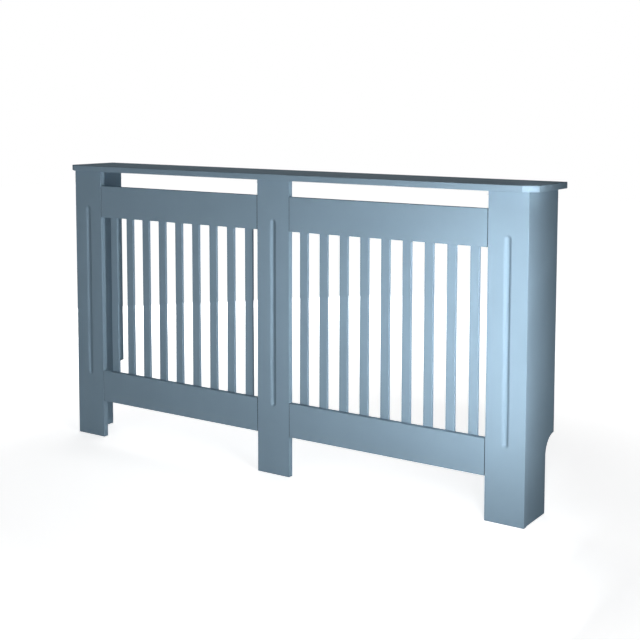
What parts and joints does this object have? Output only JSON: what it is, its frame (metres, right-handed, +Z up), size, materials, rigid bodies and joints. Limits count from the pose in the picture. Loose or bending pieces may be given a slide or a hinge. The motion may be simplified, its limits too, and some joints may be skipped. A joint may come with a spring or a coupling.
{
  "type": "radiator cover cabinet",
  "caption": "Painted board radiator cover: clipped shelf over fluted posts, slatted grilles with open vents, and side panels notched for the skirting board.",
  "frame": {"origin": "on the floor, under the middle of the shelf", "axes": "+X to the right along the front, +Y towards the wall, +Z up; the grilles face -Y"},
  "size_m": [1.52, 0.19, 0.815],
  "materials": {
    "painted_board": "satin blue-grey paint on fibreboard",
    "beech_dowel": "bare fluted beech",
    "zinc_plate": "bright zinc plate",
    "zinc_screw": "bright zinc plate",
    "cam_zinc": "as-cast zinc alloy"
  },
  "bodies": {
    "cabinet": {"top_shelf": "painted_board", "left_post": "painted_board", "middle_post": "painted_board", "right_post": "painted_board", "left_side_panel": "painted_board", "right_side_panel": "painted_board", "left_bottom_rail": "painted_board", "left_top_rail": "painted_board", "left_slat_1": "painted_board", "left_slat_2": "painted_board", "left_slat_3": "painted_board", "left_slat_4": "painted_board", "left_slat_5": "painted_board", "left_slat_6": "painted_board", "left_slat_7": "painted_board", "left_slat_8": "painted_board", "left_slat_9": "painted_board", "left_slat_screws": "zinc_screw", "left_rail_dowels": "beech_dowel", "right_bottom_rail": "painted_board", "right_top_rail": "painted_board", "right_slat_1": "painted_board", "right_slat_2": "painted_board", "right_slat_3": "painted_board", "right_slat_4": "painted_board", "right_slat_5": "painted_board", "right_slat_6": "painted_board", "right_slat_7": "painted_board", "right_slat_8": "painted_board", "right_slat_9": "painted_board", "right_slat_screws": "zinc_screw", "right_rail_dowels": "beech_dowel", "left_side_dowels": "beech_dowel", "left_wall_bracket": "zinc_plate", "right_side_dowels": "beech_dowel", "right_wall_bracket": "zinc_plate", "cam_bolts": "zinc_screw", "shelf_dowels": "beech_dowel", "left_panel_bottom_left_plate": "zinc_plate", "left_panel_bottom_right_plate": "zinc_plate", "left_panel_top_left_plate": "zinc_plate", "left_panel_top_right_plate": "zinc_plate", "right_panel_bottom_left_plate": "zinc_plate", "right_panel_bottom_right_plate": "zinc_plate", "right_panel_top_left_plate": "zinc_plate", "right_panel_top_right_plate": "zinc_plate", "left_shelf_bracket": "zinc_plate", "middle_shelf_bracket": "zinc_plate", "right_shelf_bracket": "zinc_plate", "plate_screws": "zinc_screw", "shelf_bracket_screws": "zinc_screw", "wall_bracket_screws": "zinc_screw"},
    "left_front_cam": {"left_front_cam_nut": "cam_zinc"},
    "left_back_cam": {"left_back_cam_nut": "cam_zinc"},
    "right_front_cam": {"right_front_cam_nut": "cam_zinc"},
    "right_back_cam": {"right_back_cam_nut": "cam_zinc"}
  },
  "joints": [
    {"name": "left_front_cam_turn", "type": "hinge", "parent": "cabinet", "child": "left_front_cam", "pos_m": [-0.721, -0.044, 0.765], "axis": [1, 0, 0], "range_deg": [0, 180]},
    {"name": "left_back_cam_turn", "type": "hinge", "parent": "cabinet", "child": "left_back_cam", "pos_m": [-0.721, 0.008, 0.765], "axis": [1, 0, 0], "range_deg": [0, 180]},
    {"name": "right_front_cam_turn", "type": "hinge", "parent": "cabinet", "child": "right_front_cam", "pos_m": [0.721, -0.044, 0.765], "axis": [-1, 0, 0], "range_deg": [0, 180]},
    {"name": "right_back_cam_turn", "type": "hinge", "parent": "cabinet", "child": "right_back_cam", "pos_m": [0.721, 0.008, 0.765], "axis": [-1, 0, 0], "range_deg": [0, 180]}
  ]
}
